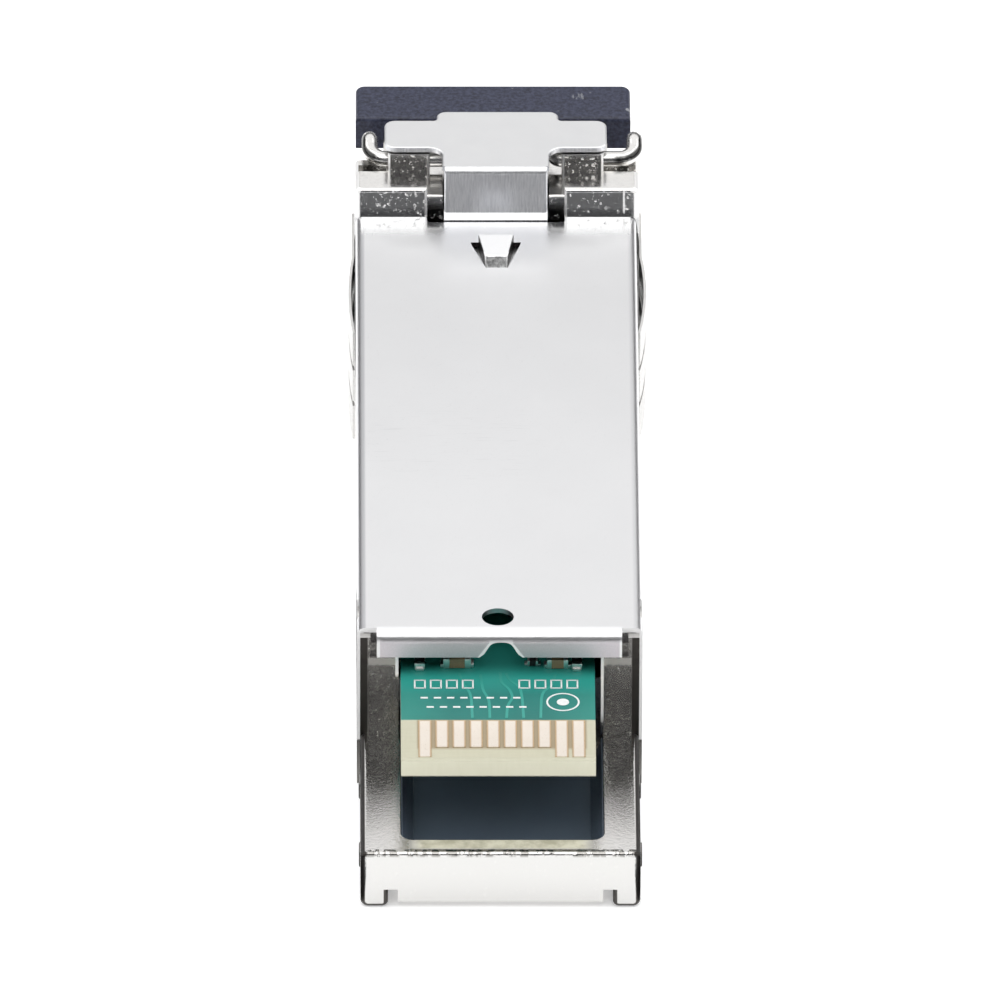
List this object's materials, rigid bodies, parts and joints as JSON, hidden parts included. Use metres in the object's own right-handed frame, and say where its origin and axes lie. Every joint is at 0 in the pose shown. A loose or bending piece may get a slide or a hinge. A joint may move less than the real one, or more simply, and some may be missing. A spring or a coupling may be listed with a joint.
{
  "type": "bidirectional optical transceiver module",
  "caption": "Pluggable single-fibre optical transceiver module with a cast body, sheet cover, card-edge contacts and a wire bail that rocks its latch.",
  "frame": {"origin": "middle of the footprint, on the plane of the two rails that the module lies on", "axes": "+Y from the contacts to the optical port, +Z out of the latch side, +X to the right seen from the contact end"},
  "size_m": [0.0142, 0.0566, 0.0113],
  "materials": {
    "cast_nickel": "rough zinc casting with satin nickel plate",
    "nickel_sheet": "satin nickel-plated sheet",
    "latch_steel": "satin plated moulded steel",
    "steel": "fine turned steel",
    "wire_steel": "bright drawn stainless wire",
    "spring_sheet": "bright stainless spring sheet",
    "black_plastic": "fine moulded texture, blue-black",
    "board": "green solder mask on cream laminate",
    "gold": "pale gold plate",
    "gold_plate": "gold plate",
    "chip_epoxy": "matte moulding compound",
    "ceramic_tan": "fired ceramic with tinned ends",
    "ferrite": "dark ferrite",
    "pad_rubber": "soft grey pad",
    "zirconia": "polished zirconia",
    "filter_glass": "coated glass",
    "flex_film": "amber film with copper tracks",
    "black_film": "smooth black insulating film",
    "label_film": "blank matte label film"
  },
  "bodies": {
    "module": {"die_cast_base": "cast_nickel", "bottom_cover": "nickel_sheet", "rocker_pin": "steel", "return_spring": "steel", "port_insert": "black_plastic", "shield_spring": "spring_sheet", "circuit_board": "board", "contact_pads": "gold", "laser_driver_chip": "chip_epoxy", "limiting_amplifier_chip": "chip_epoxy", "microcontroller_chip": "chip_epoxy", "memory_chip": "chip_epoxy", "chip_capacitors": "ceramic_tan", "chip_resistors": "chip_epoxy", "power_inductors": "ferrite", "thermal_pad": "pad_rubber", "optical_barrel": "steel", "split_sleeve": "zirconia", "fibre_stub": "zirconia", "optics_housing": "steel", "splitter_filter": "filter_glass", "laser_can": "gold_plate", "photodiode_can": "gold_plate", "laser_pins": "gold_plate", "photodiode_pins": "gold_plate", "laser_flex": "flex_film", "photodiode_flex": "flex_film", "optics_clamp": "spring_sheet", "insulating_film": "black_film", "blank_label": "label_film"},
    "bail": {"bail_wire": "wire_steel"},
    "latch": {"latch_rocker": "latch_steel"}
  },
  "joints": [
    {"name": "bail_hinge", "type": "hinge", "parent": "module", "child": "bail", "pos_m": [0, 0.02185, 0.01019], "axis": [1, 0, 0], "range_deg": [0, 30]},
    {"name": "latch_rock", "type": "hinge", "parent": "module", "child": "latch", "pos_m": [0, 0.02015, 0.00822], "axis": [1, 0, 0], "range_deg": [0, 8.1], "stiffness_Nm_per_rad": 0.001, "deforming": ["return_spring"]}
  ],
  "couplings": [
    {"joint": "latch_rock", "follows": "bail_hinge", "ratio": 0.26667}
  ]
}
